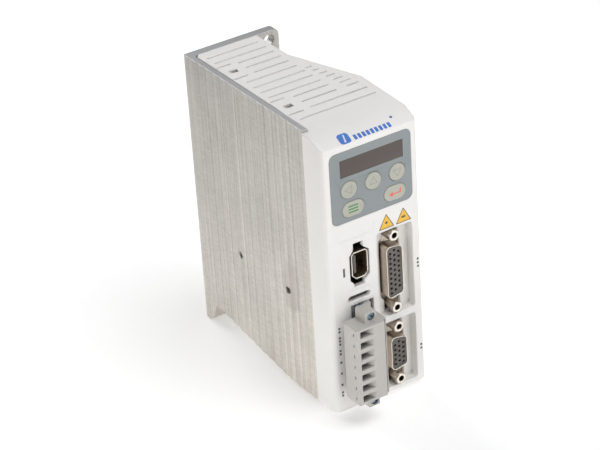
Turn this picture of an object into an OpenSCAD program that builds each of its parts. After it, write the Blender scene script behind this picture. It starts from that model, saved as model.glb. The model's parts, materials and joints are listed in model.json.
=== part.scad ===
// Compact servo drive: extruded L-section heatsink chassis, one-piece clip-on
// plastic cover, keypad and display, three signal connectors, a pluggable
// power terminal, and the boards that carry them.
// Every module is written in drive space: x from the left face, y from the
// front face, z from the top edge (downwards is negative). at() moves drive
// space so that the origin is the centre of the rear mounting face.

/* [Body] */
// Width of the metal chassis
body_w = 43.8; // [43.4:0.1:44.4]
// Depth from front face to rear mounting face
body_d = 100; // [100:0.5:104]
// Overall height of the mounting plate
body_h = 126; // [125.8:0.1:127]
// Height of the front moulding
cover_h = 124.2; // [124:0.1:124.4]
// Width across the plastic cover, which overhangs the metal on the right
cover_w = 44.8; // [44.6:0.1:45.2]
// Wall thickness of the plastic cover
cover_t = 1.8; // [1.6:0.1:1.9]
// Front wall thickness of the plastic cover
front_t = 2.2; // [2:0.1:2.3]

/* [Chassis] */
// Thickness of the side wall of the extrusion
wall_t = 3; // [2.8:0.1:3]
// Thickness of the rear mounting plate
plate_t = 4.4; // [4:0.1:4.6]
// Where the metal side wall starts behind the front face
wall_y0 = 12.8; // [12.6:0.1:13.2]
// Number of shallow ribs on the outside of the side wall
ribs = 16; // [12:1:20]
// Depth of the grooves between ribs
rib_depth = 0.4; // [0.2:0.05:0.6]

/* [Mounting] */
// Diameter of the upper screw hole in the plate
hole_d = 4.8; // [4.3:0.1:5]
// Distance of the screw line from the left face
hole_x = 38.9; // [38.5:0.1:39.3]
// Distance of the screws from the top and bottom edges
hole_z = 4.2; // [4:0.1:4.6]

/* [Keypad] */
// Diameter of the round keys
key_d = 7.4; // [7:0.1:7.6]
// Length of the oval keys
key_l = 10.2; // [9.6:0.1:10.6]
// Height of the oval keys
key_h = 6.6; // [6:0.1:7]
// Gap round each key
key_gap = 0.15; // [0.1:0.05:0.2]
// How far the keys stand proud
key_proud = 0.35; // [0.2:0.05:0.5]

/* [Connectors] */
// Screw spacing of the 26-way connector
cn1_pitch = 33.32; // [33.2:0.02:33.4]
// Screw spacing of the 15-way connector
cn2_pitch = 24.99; // [24.9:0.02:25.1]
// Height of the 26-way connector's centre below the top
cn1_z = 68.35; // [68:0.05:68.6]
// Height of the 15-way connector's centre below the top
cn2_z = 106.9; // [106.8:0.05:107]
// Width across flats of the hex jackscrews
jack_af = 4.75; // [4.5:0.05:5]

/* [Terminal] */
// Number of poles
poles = 7; // [7:1:7]
// Pitch of the poles
pole_pitch = 5; // [5:0.02:5.02]
// How far the plug stands in front of the face
plug_out = 12.8; // [12:0.1:13.5]

/* [Hidden] */
$fn = 48;
e = 0.5;
plate_y = body_d - plate_t;
rib_p = (body_d - wall_y0) / ribs;
face_x1 = 3.5;
face_x2 = 41.9;
face_z1 = -7.2;
face_z2 = -38.5;
win = [8.3, 38.0, -10.9, -18.6];
keys_round = [[12.0, -24.4], [23.4, -24.4], [34.8, -24.4]];
keys_oval = [[13.5, -33.1], [33.3, -33.1]];
cn_x = 31.6;
cn2_x = 32;
flange_y = 5.3;
// contacts in each column, left to right, and the height of each column's first contact
cn1_rows = [9, 9, 8];
cn1_tops = [8.59, 9.73, 8.59];
cn2_rows = [5, 5, 5];
cn2_tops = [4.0, 5.15, 4.0];
shell_y = -0.6;
cn3_x = 15.2;
cn3_z = -59.1;
plug_cx = 14.5;
pole_z0 = -82.45;
nut_z1 = pole_z0 + 4.55;
nut_z2 = pole_z0 - (poles - 1) * pole_pitch - 5.15;
ctl_x = 21.6;
pwr_x = 11;
pcb_t = 1.6;
clamp_y = [30.7, 66.3];
clamp_z = -80;
post_yz = [[22, -50], [22, -116], [56, -50], [56, -115]];
post2_yz = [[22, -14], [88, -14], [88, -106]];
tr_y = [23.4, 37.9, 48.5, 59.1, 73.6, 84.2];

// moves drive space to the row frame
module at() { translate([-body_w / 2, -body_d, body_h / 2]) children(); }
// a box between two corners
module bx(a, b) { translate(a) cube(b - a); }
// cylinders along the three axes, from a given end
module cx(p, r, l, n = 48) { translate(p) rotate([0, 90, 0]) cylinder(r = r, h = l, $fn = n); }
module cy(p, r, l, n = 48) { translate(p) rotate([-90, 0, 0]) cylinder(r = r, h = l, $fn = n); }
// extrude a plan (x, y) along z; a side view (y, z) along x; a front view (x, z) along y
module ez(z1, z2) { translate([0, 0, z1]) linear_extrude(z2 - z1) children(); }
module exx(x1, x2) { translate([x1, 0, 0]) rotate([90, 0, 90]) linear_extrude(x2 - x1) children(); }
module ey(y1, y2) { translate([0, y2, 0]) rotate([90, 0, 0]) linear_extrude(y2 - y1) children(); }

function unit(v) = v / norm(v);
// round the corners of an outline with arcs of radius r (a number or one per corner)
function fil(p, r, n = 5) = [for (i = [0:len(p) - 1])
    let (a = p[(i + len(p) - 1) % len(p)], b = p[i], c = p[(i + 1) % len(p)],
         u = unit(a - b), v = unit(c - b), h = acos(u * v) / 2,
         q = is_list(r) ? r[i] : r, t = q / tan(h), m = b + unit(u + v) * (q / sin(h)),
         s0 = b + u * t - m, e0 = b + v * t - m,
         s = atan2(s0[1], s0[0]), f = atan2(e0[1], e0[0]),
         d = (f - s + 540) % 360 - 180)
    each (q <= 0 ? [b] : [for (k = [0:n]) m + q * [cos(s + d * k / n), sin(s + d * k / n)]])];
function rect(x1, x2, y1, y2) = [[x1, y1], [x2, y1], [x2, y2], [x1, y2]];
// D-shaped outline, wide side to the left, half length L/2, half height H/2
function dee(L, H) = [[-H / 2, -L / 2], [H / 2, -L / 2 + H * tan(10)], [H / 2, L / 2 - H * tan(10)], [-H / 2, L / 2]];

// ---- chassis ----
module heatsink_chassis() {
    side = [[body_d, 0], [body_d, -body_h], [96.2, -body_h], [93, -122.9], [90.1, -116], [82.6, -116.9],
            [59.3, -120.5], [36.7, -123.7], [27.8, -124.6], [wall_y0, -124.1], [wall_y0, 0]];
    scallop = [for (i = [0:ribs - 1]) for (k = [0:7])
        let (t = k / 8) [rib_depth * pow(abs(2 * t - 1), 2.4), body_d - (i + t) * rib_p]];
    plan = concat([[rib_depth, wall_y0], [wall_t, wall_y0], [wall_t, plate_y - 1.5], [wall_t + 0.45, plate_y - 0.45],
                   [wall_t + 1.5, plate_y], [body_w, plate_y], [body_w, body_d]], scallop);
    color("silver") at() difference() {
        intersection() {
            ez(-body_h, 0) polygon(plan);
            exx(-1, body_w + 1) polygon(fil(side, [0, 0, 1.2, 1.5, 0.8, 0, 0, 0, 0, 0.3, 0]));
            ey(wall_y0 - 1, body_d + 1) polygon(fil([[-1, 1], [-1, -body_h - 1], [body_w + 0, -body_h - 1], [body_w, 0], [0, 0]], [0, 0, 0, 2.6, 0]));
        }
        cy([hole_x, plate_y - 1, -hole_z], hole_d / 2, plate_t + 2);
        cy([hole_x, plate_y - 1, -body_h + hole_z], hole_d / 2, plate_t + 2);
        bx([hole_x - hole_d / 2, plate_y - 1, -body_h - 1], [hole_x + hole_d / 2, body_d + 1, -body_h + hole_z]);
        for (y = clamp_y) cx([-1, y, clamp_z], 1.5, wall_t + 2);
    }
}

// ---- cover ----
module cover_plan(i) {
    // i is how far the wall is set in
    polygon(i == 0
        ? fil([[0, 0], [cover_w, 0], [cover_w, 36.5], [33, 71.9], [33, plate_y], [wall_t + 1.7, plate_y], [wall_t + 0.2, plate_y - 1.7], [wall_t + 0.2, wall_y0], [0, wall_y0]],
              [3.2, 1.4, 3, 3, 0, 0, 0, 0, 0])
        : fil([[cover_t, front_t], [cover_w - cover_t, front_t], [cover_w - cover_t, 36.5], [33 - cover_t, 71.5], [33 - cover_t, plate_y + 1],
               [0 - 1, plate_y + 1], [-1, wall_y0], [cover_t, wall_y0]], [1.6, 1, 2, 2, 0, 0, 0, 0]));
}
module cover_side(i) {
    // side view of the cover, set in by i
    polygon([[front_t * sign(i), -cover_h + i], [27.8, -cover_h + i], [82.6, -116.9 + i], [plate_y + sign(i), -115.6 + i],
             [plate_y + sign(i), -i], [36, -i], [20, -0.7 - i], [7, -1.2 - i], [front_t * sign(i), -4.6 - i * 0.7]]);
}
module pocket(x1, x2, z1, z2, r) { ey(-1, 3.9) polygon(fil(rect(x1, x2, z2, z1), r)); }
// opening in a pocket floor: wide beside the shell, narrower beside the jackscrews
module cutout(x, z, h, t) {
    ey(3, 8) translate([x, z]) polygon([[-4.45, -h], [-2.9, -h - 1.6], [-2.9, -t], [4.6, -t], [4.6, -h - 1.6], [5.2, -h],
        [5.2, h], [4.6, h + 1.6], [4.6, t], [-2.9, t], [-2.9, h + 1.6], [-4.45, h]]);
}
module front_cover() {
    long = [[5.5, 30.1, 89.9], [5.5, 30.2, 84.2], [13.3, 30.3, 78.4], [13.4, 30.2, 72.8], [13.5, 30.1, 67.1],
            [5.7, 30.1, 61.4], [5.7, 30.2, 55.6], [5.7, 30.2, 50.1], [5.8, 30.3, 44.5], [14, 30.4, 39],
            [14.2, 30.4, 33.5], [14.4, 41.4, 28.1], [6.1, 41.5, 22.4]];
    tongue = [[3.6, 10.2, 79.9], [3.8, 10.5, 66.8], [4, 10.6, 40.7], [4, 11, 27.5]];
    // the second column of slots follows the slanted side wall
    short = [for (k = [0:6]) [31.8 + k * 0.62, 34.4 + k * 1.12, 57.2 - k * 3.95]];
    color("whitesmoke") at() difference() {
        union() {
            difference() {
                intersection() {
                    ez(-cover_h - 1, 1) cover_plan(0);
                    exx(-1, cover_w + 1) cover_side(0);
                }
                intersection() {
                    ez(-cover_h - 1, 1) cover_plan(1);
                    exx(-2, cover_w + 1) cover_side(cover_t);
                }
            }
            // pocket boxes behind the front wall
            intersection() {
                union() {
                    bx([23.2, 1, -89.5], [cover_w - 1, flange_y, -47.8]);
                    bx([23.2, 1, -123], [cover_w - 1, flange_y, -89.9]);
                }
                exx(-1, cover_w + 1) cover_side(0);
            }
            // bosses for the display board
            for (p = [[5.4, -12], [5.4, -36], [40.7, -12], [40.7, -36]]) cy([p[0], front_t - 0.2, p[1]], 1.8, 10 - front_t + 0.2);
        }
        // overlay recess and window
        ey(-1, 0.4) polygon(fil(rect(face_x1, face_x2, face_z2, face_z1), 2.8));
        bx([win[0], -1, win[3]], [win[1], front_t + 1, win[2]]);
        for (p = keys_round) cy([p[0], -1, p[1]], key_d / 2 + key_gap, 5);
        for (p = keys_oval) ey(-1, 4) polygon(fil(rect(p[0] - key_l / 2 - key_gap, p[0] + key_l / 2 + key_gap,
            p[1] - key_h / 2 - key_gap, p[1] + key_h / 2 + key_gap), key_h / 2 + key_gap - 0.01, 8));
        for (p = [[5.4, -12], [5.4, -36], [40.7, -12], [40.7, -36]]) cy([p[0], front_t + 1.2, p[1]], 0.95, 10);
        // connector pockets and the cut-outs in their floors
        pocket(23.8, 40.9, -48.9, -88.1, 1.3);
        pocket(23.8, 40.9, -91.3, -122.3, 1.3);
        cutout(cn_x, -cn1_z, 12.9, 19.4);
        cutout(cn2_x, -cn2_z, 8.8, 15.2);
        // serial socket cut-out
        ey(-1, 4) polygon(fil([[10.5, -54.2], [12.4, -51.8], [12.4, -48.9], [17.2, -48.9], [17.2, -51.6], [19.9, -53.8], [19.9, -64.6],
            [17.4, -67.1], [17.4, -68.6], [12.2, -68.6], [12.2, -67.1], [10.5, -65.2]], 0.35, 3));
        // slot below the serial socket
        ey(-1, 4) polygon(fil(rect(9.1, 19.7, -74.75, -72.35), 1.18, 6));
        // terminal opening
        bx([10.2, -1, -120.5], [20.9, 4, -76.7]);
        // shallow panels
        ey(-1, 0.12) polygon(fil(rect(5.3, 22.7, -46.4, -42.4), 0.5, 3));
        bx([8, -1, -69.85], [20.2, 0.15, -69.55]);
        // top and bottom vents
        for (s = concat(long, tongue, short)) {
            bx([s[0], s[2] - 0.42, -5], [s[1], s[2] + 0.42, 1]);
            if (s[1] - s[0] > 10 && s[2] < 80) bx([s[0], s[2] - 0.42, -cover_h - 1], [min(s[1], 30), s[2] + 0.42, -113.2]);
        }
        bx([6.0, 72.1, -5], [9.6, 74.7, 1]);
        bx([6.4, 32.6, -5], [10.0, 35.2, 1]);
        // stepped marks on the top
        bx([18.6, 11.6, -0.98], [27.4, 18.6, 1]);
    }
}
module label_overlay() {
    color("slategray") at() difference() {
        ey(0, 0.4) polygon(fil(rect(face_x1 + 0.05, face_x2 - 0.05, face_z2 + 0.05, face_z1 - 0.05), 2.75));
        bx([win[0], -1, win[3]], [win[1], 1, win[2]]);
        for (p = keys_round) cy([p[0], -1, p[1]], key_d / 2 + key_gap, 3);
        for (p = keys_oval) ey(-1, 2) polygon(fil(rect(p[0] - key_l / 2 - key_gap, p[0] + key_l / 2 + key_gap,
            p[1] - key_h / 2 - key_gap, p[1] + key_h / 2 + key_gap), key_h / 2 + key_gap - 0.01, 8));
    }
}
module display_window() {
    color([0.3, 0.2, 0.18]) at() union() {
        bx([win[0] + 0.04, 0.12, win[3] + 0.04], [win[1] - 0.04, front_t, win[2] - 0.04]);
        bx([win[0] - 0.6, front_t, win[3] - 0.6], [win[1] + 0.6, front_t + 0.8, win[2] + 0.6]);
    }
}

// ---- keys ----
module key_cap(p, oval, rise) {
    color("wheat") at() union() {
        if (oval) {
            ey(-key_proud, front_t + 0.3) polygon(fil(rect(p[0] - key_l / 2, p[0] + key_l / 2, p[1] - key_h / 2, p[1] + key_h / 2), key_h / 2 - 0.01, 8));
            ey(front_t + 0.05, front_t + 0.8) polygon(fil(rect(p[0] - key_l / 2 - 0.4, p[0] + key_l / 2 + 0.4, p[1] - key_h / 2 - 0.4, p[1] + key_h / 2 + 0.4), 2, 6));
        } else {
            cy([p[0], -key_proud, p[1]], key_d / 2, front_t + 0.3 + key_proud);
            cy([p[0], front_t + 0.05, p[1]], key_d / 2 + 0.5, 0.75);
        }
        cy([p[0], front_t + 0.6, p[1]], 1.6, 5.5 - front_t - 0.6);
    }
}
module plunger(p) { color("dimgray") at() cy([p[0], 5.5, p[1]], 1.7, 1.6); }
module key_left() { key_cap(keys_round[0], false); }
module key_up() { key_cap(keys_round[1], false); }
module key_down() { key_cap(keys_round[2], false); }
module key_mode() { key_cap(keys_oval[0], true); }
module key_enter() { key_cap(keys_oval[1], true); }
module plunger_left() { plunger(keys_round[0]); }
module plunger_up() { plunger(keys_round[1]); }
module plunger_down() { plunger(keys_round[2]); }
module plunger_mode() { plunger(keys_oval[0]); }
module plunger_enter() { plunger(keys_oval[1]); }
module tact_switches() {
    color("black") at() for (p = concat(keys_round, keys_oval)) difference() {
        bx([p[0] - 3, 6.5, p[1] - 3], [p[0] + 3, 10, p[1] + 3]);
        cy([p[0], 6, p[1]], 1.75, 2.2);
    }
}

// ---- display ----
module display_pcb() {
    color("darkgreen") at() difference() {
        bx([4, 10, -40], [42, 11.6, -8.4]);
        for (p = [[5.4, -12], [5.4, -36], [40.7, -12], [40.7, -36]]) cy([p[0], 9, p[1]], 1.1, 4);
    }
}
module display_module() {
    color("dimgray") at() bx([8.8, 3.4, -19.2], [37.5, 10, -10.3]);
}
module display_screws() {
    color("gray") at() for (p = [[5.4, -12], [5.4, -36], [40.7, -12], [40.7, -36]]) union() {
        cy([p[0], 5.5, p[1]], 0.9, 6.3);
        cy([p[0], 11.6, p[1]], 1.3 + (p[0] > 20 ? 0 : 0.3), 1.4);
    }
}
module display_connector() { color("ivory") at() bx([17.4, 11.6, -39.6], [ctl_x, 17.6, -30.4]); }

// ---- boards ----
module control_pcb() {
    color("darkgreen") at() difference() {
        exx(ctl_x, ctl_x + pcb_t) polygon([[7.4, -46.6], [14, -46.6], [14, -30], [26, -30], [26, -46.6], [60, -46.6], [60, -117], [38, -119.6], [7.4, -119.6]]);
        for (p = post_yz) cx([ctl_x - 1, p[0], p[1]], 1.6, 4);
    }
}
module control_chips() {
    color([0.12, 0.12, 0.13]) at() {
        bx([ctl_x + pcb_t, 30, -78], [ctl_x + pcb_t + 1.4, 44, -64]);
        bx([ctl_x + pcb_t, 30, -98], [ctl_x + pcb_t + 1.4, 40, -88]);
        for (k = [0:5]) bx([ctl_x + pcb_t, 48, -58 - k * 7.4], [ctl_x + pcb_t + 3.2, 54.4, -53.4 - k * 7.4]);
        for (z = [-58, -84, -110]) bx([ctl_x + pcb_t, 28, z], [ctl_x + pcb_t + 2, 34, z + 4]);
    }
}
module power_pcb() {
    color("darkgreen") at() difference() {
        exx(pwr_x, pwr_x + pcb_t) polygon([[17, -6], [93.5, -6], [93.5, -113.2], [82, -113.8], [60, -117], [36, -120.6], [17, -120.6]]);
        for (p = concat(post_yz, post2_yz)) cx([pwr_x - 1, p[0], p[1]], 1.6, 4);
        for (y = clamp_y) cx([pwr_x - 1, y, clamp_z], 3.6, 4);
    }
}
module terminal_board() {
    color("darkgreen") at() difference() {
        bx([4.2, 15, -121.4], [20.5, 16.6, -75.4]);
        for (k = [0:poles - 1]) bx([plug_cx - 0.5, 14, pole_z0 - k * pole_pitch - 0.5], [plug_cx + 0.5, 18, pole_z0 - k * pole_pitch + 0.5]);
    }
}
module board_header() { color("black") at() bx([pwr_x + pcb_t, 44.5, -92], [ctl_x, 49.5, -66]); }

// ---- high-density D connectors ----
module d_shell(L, flange, pitch, zc, cn_x) {
    color("silver") at() difference() {
        union() {
            ey(shell_y, flange_y + 0.3) translate([cn_x, zc]) polygon(fil(dee(L, 7.9), 2.1, 6));
            ey(flange_y, flange_y + 0.6) polygon(fil(rect(cn_x - 6.25, cn_x + 6.25, zc - flange / 2, zc + flange / 2), 1.4, 4));
        }
        ey(shell_y - 1, flange_y + 2) translate([cn_x, zc]) polygon(fil(dee(L - 0.9, 7.0), 1.7, 6));
        for (s = [-1, 1]) cy([cn_x, flange_y - 1, zc + s * pitch / 2], 1.6, 3);
    }
}
// three staggered columns of contacts; top is the height of each column's first contact
module hd_holes(rows, tops, zc, r, y1, y2, g, cn_x) {
    for (c = [0:2]) for (k = [0:rows[c] - 1])
        cy([cn_x + (c - 1) * 1.98, y1, zc + tops[c] - k * 2.29], r, y2 - y1, g);
}
module d_insulator(L, rows, tops, zc, cn_x) {
    color([0.3, 0.3, 0.31]) at() difference() {
        union() {
            ey(shell_y + 0.2, flange_y + 0.6) translate([cn_x, zc]) polygon(fil(dee(L - 0.96, 6.94), 1.67, 6));
            difference() {
                bx([ctl_x + pcb_t, flange_y + 0.6, zc - L / 2 - 1], [cn_x + 5.4, 15.5, zc + L / 2 + 1]);
                bx([ctl_x + pcb_t - 1, flange_y, zc - L / 2 - 2], [24.8, 7.4, zc + L / 2 + 2]);
            }
        }
        hd_holes(rows, tops, zc, 0.58, shell_y - 1, 4, 16, cn_x);
    }
}
module d_contacts(rows, tops, zc, cn_x) { color("goldenrod") at() hd_holes(rows, tops, zc, 0.5, 1.2, 4, 16, cn_x); }
module jackscrews(pitch, zc, cn_x) {
    h = flange_y + 1.1;
    r = jack_af / 2 / cos(30);
    color("silver") at() for (s = [-1, 1]) difference() {
        union() {
            // hex with a turned chamfer at its front end
            translate([cn_x, -1.1, zc + s * pitch / 2]) rotate([-90, 0, 0]) intersection() {
                rotate(15) cylinder(r = r, h = h, $fn = 6);
                rotate_extrude() polygon([[0, 0], [r - 0.62, 0], [r + 0.02, 0.42], [r + 0.02, h], [0, h]]);
            }
            cy([cn_x, flange_y - 0.1, zc + s * pitch / 2], 1.45, 0.9);
        }
        cy([cn_x, -2, zc + s * pitch / 2], 1.2, 6.4);
    }
}
module cn1_shell() { d_shell(24.66, 39.14, cn1_pitch, -cn1_z, cn_x); }
module cn1_insulator() { d_insulator(24.66, cn1_rows, cn1_tops, -cn1_z, cn_x); }
module cn1_contacts() { d_contacts(cn1_rows, cn1_tops, -cn1_z, cn_x); }
module cn1_jackscrews() { jackscrews(cn1_pitch, -cn1_z, cn_x); }
module cn2_shell() { d_shell(16.33, 30.81, cn2_pitch, -cn2_z, cn2_x); }
module cn2_insulator() { d_insulator(16.33, cn2_rows, cn2_tops, -cn2_z, cn2_x); }
module cn2_contacts() { d_contacts(cn2_rows, cn2_tops, -cn2_z, cn2_x); }
module cn2_jackscrews() { jackscrews(cn2_pitch, -cn2_z, cn2_x); }

// ---- serial socket ----
function cn3_out(i) = [[cn3_x - 3.9 + i, cn3_z - 4.2], [cn3_x - 2.0 + i * 0.4, cn3_z - 6.1 + i], [cn3_x + 2.0 - i * 0.4, cn3_z - 6.1 + i],
    [cn3_x + 3.9 - i, cn3_z - 4.2], [cn3_x + 3.9 - i, cn3_z + 5.0 - i * 0.4], [cn3_x + 2.8 - i * 0.4, cn3_z + 6.1 - i],
    [cn3_x - 2.8 + i * 0.4, cn3_z + 6.1 - i], [cn3_x - 3.9 + i, cn3_z + 5.0 - i * 0.4]];
module cn3_shell() {
    color("silver") at() difference() {
        ey(-0.1, 15) polygon(fil(cn3_out(0), 0.5, 3));
        ey(-1, 14.6) polygon(fil(cn3_out(0.45), 0.4, 3));
    }
}
module cn3_insulator() {
    color([0.08, 0.08, 0.08]) at() union() {
        ey(8.5, 14.6) polygon(fil(cn3_out(0.47), 0.4, 3));
        // carrier down to the board
        bx([cn3_x + 3.9, 7.4, cn3_z - 5], [ctl_x, 14, cn3_z + 5]);
    }
}
module cn3_tongue() { color([0.2, 0.2, 0.2]) at() bx([cn3_x - 2.3, 1.2, cn3_z - 4.1], [cn3_x - 1.0, 8.5, cn3_z + 4.1]); }
module cn3_contacts() {
    color("gold") at() for (k = [0:5])
        bx([cn3_x - 1.0, 1.6, cn3_z - 3.6 + k * 1.28], [cn3_x - 0.85, 8.5, cn3_z - 2.8 + k * 1.28]);
}

// ---- power terminal ----
module terminal_header() {
    color("lightslategray") at() difference() {
        union() {
            bx([9.4, 2.6, -121.2], [20.5, 15, -75]);
            // neck that shows in the cover's opening
            bx([10.4, 0.4, -120.2], [19.2, 3, -77]);
        }
        bx([11.6, -1, pole_z0 - (poles - 1) * pole_pitch - 2.4], [17.4, 12, pole_z0 + 2.4]);
        for (z = [nut_z1, nut_z2]) {
            cy([12.9, 3, z], 1.75, 5);
            cy([12.9, -1, z], 1.25, 12);
        }
        for (k = [0:poles - 1]) bx([plug_cx - 0.5, 9, pole_z0 - k * pole_pitch - 0.5], [plug_cx + 0.5, 18, pole_z0 - k * pole_pitch + 0.5]);
    }
}
module header_pins() {
    color("silver") at() for (k = [0:poles - 1])
        bx([plug_cx - 0.5, 4.5, pole_z0 - k * pole_pitch - 0.5], [plug_cx + 0.5, 16.9, pole_z0 - k * pole_pitch + 0.5]);
}
module flange_nuts() {
    color("goldenrod") at() for (z = [nut_z1, nut_z2]) difference() {
        cy([12.9, 3.1, z], 1.74, 4.6);
        cy([12.9, 2, z], 1.2, 8);
    }
}
module plug_body() {
    zt = pole_z0 + 2.6;
    zb = pole_z0 - (poles - 1) * pole_pitch - 2.5;
    color("darkgray") at() difference() {
        union() {
            // clamp block in front of the face, with the rim strip on its right
            ez(zb, zt) polygon(fil([[3.5, -plug_out], [17.2, -plug_out], [17.2, -plug_out + 1.3], [18.8, -plug_out + 1.3], [18.8, -3.2], [3.5, -3.2]],
                [0.3, 0.3, 0, 0.3, 0.5, 0.7], 4));
            // tongue that goes into the header
            bx([11.9, -3.6, zb + 0.4], [17.1, 11.6, zt - 0.4]);
            // screw flanges
            ez(zt - 0.2, zt + 4.1) polygon([[10.1, -2.6], [10.1, -9.7], [15.3, -9.7], [15.3, -5.2], [17.4, -3.2], [17.4, -2.6]]);
            ez(zb - 5.1, zb + 0.2) polygon([[10.1, -2.6], [10.1, -9.7], [15.3, -9.7], [15.3, -5.2], [17.4, -3.2], [17.4, -2.6]]);
        }
        for (k = [0:poles - 1]) {
            z = pole_z0 - k * pole_pitch;
            // wire funnel: a ramp from the right down to the wire hole on the left
            intersection() {
                ez(z - 3, z + 3) polygon([[5.4, -plug_out - 1], [11.8, -plug_out - 1], [11.8, -plug_out], [8.4, -plug_out + 3.8], [8.4, -4.4], [5.4, -4.4]]);
                exx(5, 12) polygon([[-plug_out - 1, z - 1.55], [-plug_out, z - 1.55], [-plug_out + 3.8, z - 0.9], [-4, z - 0.9],
                    [-4, z + 1.2], [-plug_out + 3.8, z + 1.2], [-plug_out, z + 1.5], [-plug_out - 1, z + 1.5]]);
            }
            // contact cavity round the header pin
            bx([plug_cx - 0.7, -1.5, z - 0.7], [plug_cx + 0.7, 12, z + 0.7]);
            // test slit on the left
            bx([3, -plug_out + 1.9, z - 0.75], [4.2, -plug_out + 2.5, z + 0.75]);
        }
        for (z = [nut_z1, nut_z2]) {
            cy([12.9, -11, z], 1.75, 4.4);
            cy([12.9, -11, z], 1.2, 12);
        }
    }
}
module plug_clamps() {
    color("silver") at() for (k = [0:poles - 1]) {
        z = pole_z0 - k * pole_pitch;
        ez(z - 0.8, z + 1.1) polygon([[5.45, -4.5], [5.45, -7.6], [5.75, -7.6], [5.75, -4.8], [8.05, -4.8], [8.05, -7.4], [7.3, -8], [7.3, -8.3], [8.35, -7.6], [8.35, -4.5]]);
    }
}
module drive_slot(z) {
    translate([12.9, -8.9, z]) rotate([0, 35, 0]) bx([-2, -1, -0.28], [2, 0.7, 0.28]);
}
module plug_screw(z) {
    color("steelblue") at() difference() {
        union() {
            cy([12.9, -8.9, z], 1.68, 2.2);
            cy([12.9, -7, z], 1.14, 14.6);
        }
        drive_slot(z);
    }
}
module plug_screw_top() { plug_screw(nut_z1); }
module plug_screw_bottom() { plug_screw(nut_z2); }

// ---- power stage ----
module capacitors() {
    color([0.15, 0.15, 0.25]) at() for (y = [70.4, 84]) for (z = [-29, -42.5, -56, -69.5]) union() {
        cx([pwr_x + pcb_t, y, z], 6.1, 0.8);
        cx([pwr_x + pcb_t + 0.8, y, z], 6.25, 15.4);
    }
}
module power_transistors() {
    color([0.1, 0.1, 0.1]) at() for (y = tr_y) union() {
        bx([4.5, y - 5, -85.6], [7.7, y + 5, -76.6]);
        difference() {
            bx([3.25, y - 5, -85.6], [4.55, y + 5, -70]);
            cx([3, y, -73], 1.8, 3);
        }
        for (k = [-1:1]) {
            bx([5.4, y + k * 2.54 - 0.4, -88.2], [6, y + k * 2.54 + 0.4, -85.4]);
            bx([5.4, y + k * 2.54 - 0.4, -88.6], [pwr_x, y + k * 2.54 + 0.4, -88]);
        }
    }
}
module thermal_pad() {
    color("lightgray") at() difference() {
        bx([wall_t, 17, -86.4], [wall_t + 0.25, 90, -69]);
        for (y = clamp_y) cx([wall_t - 1, y, clamp_z], 1.8, 3);
    }
}
module clamp_bar() {
    color("gray") at() difference() {
        bx([7.7, 18, -83.6], [9.5, 90, -77]);
        for (y = clamp_y) cx([7, y, clamp_z], 1.6, 4);
    }
}
module clamp_screws() {
    color("silver") at() for (y = clamp_y) union() {
        cx([0.9, y, clamp_z], 1.46, 8.7);
        difference() {
            cx([9.5, y, clamp_z], 2.8, 2.2);
            cx([10.6, y, clamp_z], 1.3, 3, 6);
        }
    }
}
module standoffs() {
    color("gold") at() for (p = concat(post_yz, post2_yz)) difference() {
        cx([wall_t, p[0], p[1]], 5 / 2 / cos(30), pwr_x - wall_t, 6);
        cx([wall_t + 2, p[0], p[1]], 1.5, 9);
    }
}
module board_spacers() {
    color("gold") at() for (p = post_yz) difference() {
        cx([pwr_x + pcb_t, p[0], p[1]], 5 / 2 / cos(30), ctl_x - pwr_x - pcb_t, 6);
        cx([pwr_x, p[0], p[1]], 1.5, 12);
    }
}
module board_screws() {
    color("silver") at() {
        for (p = post_yz) union() {
            cx([6, p[0], p[1]], 1.45, 17.3);
            cx([ctl_x + pcb_t, p[0], p[1]], 2.6, 1.8);
        }
        for (p = post2_yz) union() {
            cx([6, p[0], p[1]], 1.45, 6.7);
            cx([pwr_x + pcb_t, p[0], p[1]], 2.6, 1.8);
        }
    }
}
module transformer() {
    color("khaki") at() union() {
        bx([pwr_x + pcb_t, 27, -36], [pwr_x + pcb_t + 3, 45, -16]);
        bx([pwr_x + pcb_t + 3, 29, -34], [pwr_x + pcb_t + 12, 43, -18]);
        bx([pwr_x + pcb_t + 5, 27.5, -30], [pwr_x + pcb_t + 15, 44.5, -22]);
    }
}
module relay() { color("black") at() bx([pwr_x + pcb_t, 47.5, -34], [pwr_x + pcb_t + 15, 60, -14]); }
module inductor() {
    color("darkorange") at() translate([pwr_x + pcb_t, 36, -103]) rotate([0, 90, 0]) rotate_extrude($fn = 48)
        polygon(fil(rect(2.6, 7, 0.2, 7.6), 1.4, 4));
}
module fuse() {
    color("white") at() union() {
        translate([pwr_x + pcb_t + 3, 82, -104]) cylinder(r = 2.3, h = 22);
        translate([pwr_x + pcb_t + 3, 82, -104]) cylinder(r = 2.8, h = 5);
        translate([pwr_x + pcb_t + 3, 82, -87]) cylinder(r = 2.8, h = 5);
    }
}
module current_shunts() {
    color("peru") at() for (y = [62, 68, 74]) exx(pwr_x + pcb_t, pwr_x + pcb_t + 3.2)
        polygon([[y - 1.6, -111], [y - 1.6, -100], [y + 1.6, -100], [y + 1.6, -111], [y + 1, -111], [y + 1, -100.6], [y - 1, -100.6], [y - 1, -111]]);
}
module latch_brackets() {
    color("gray") at() for (p = [[7.8, 73.4], [8.2, 33.9]]) union() {
        bx([wall_t, p[1] - 3, -9.6], [wall_t + 0.8, p[1] + 3, -2]);
        bx([wall_t, p[1] - 3, -2.9], [p[0] + 1.2, p[1] + 3, -2.1]);
        bx([p[0] - 1.2, p[1] - 0.9, -2.9], [p[0] + 1.2, p[1] + 0.9, -0.5]);
    }
}

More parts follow.
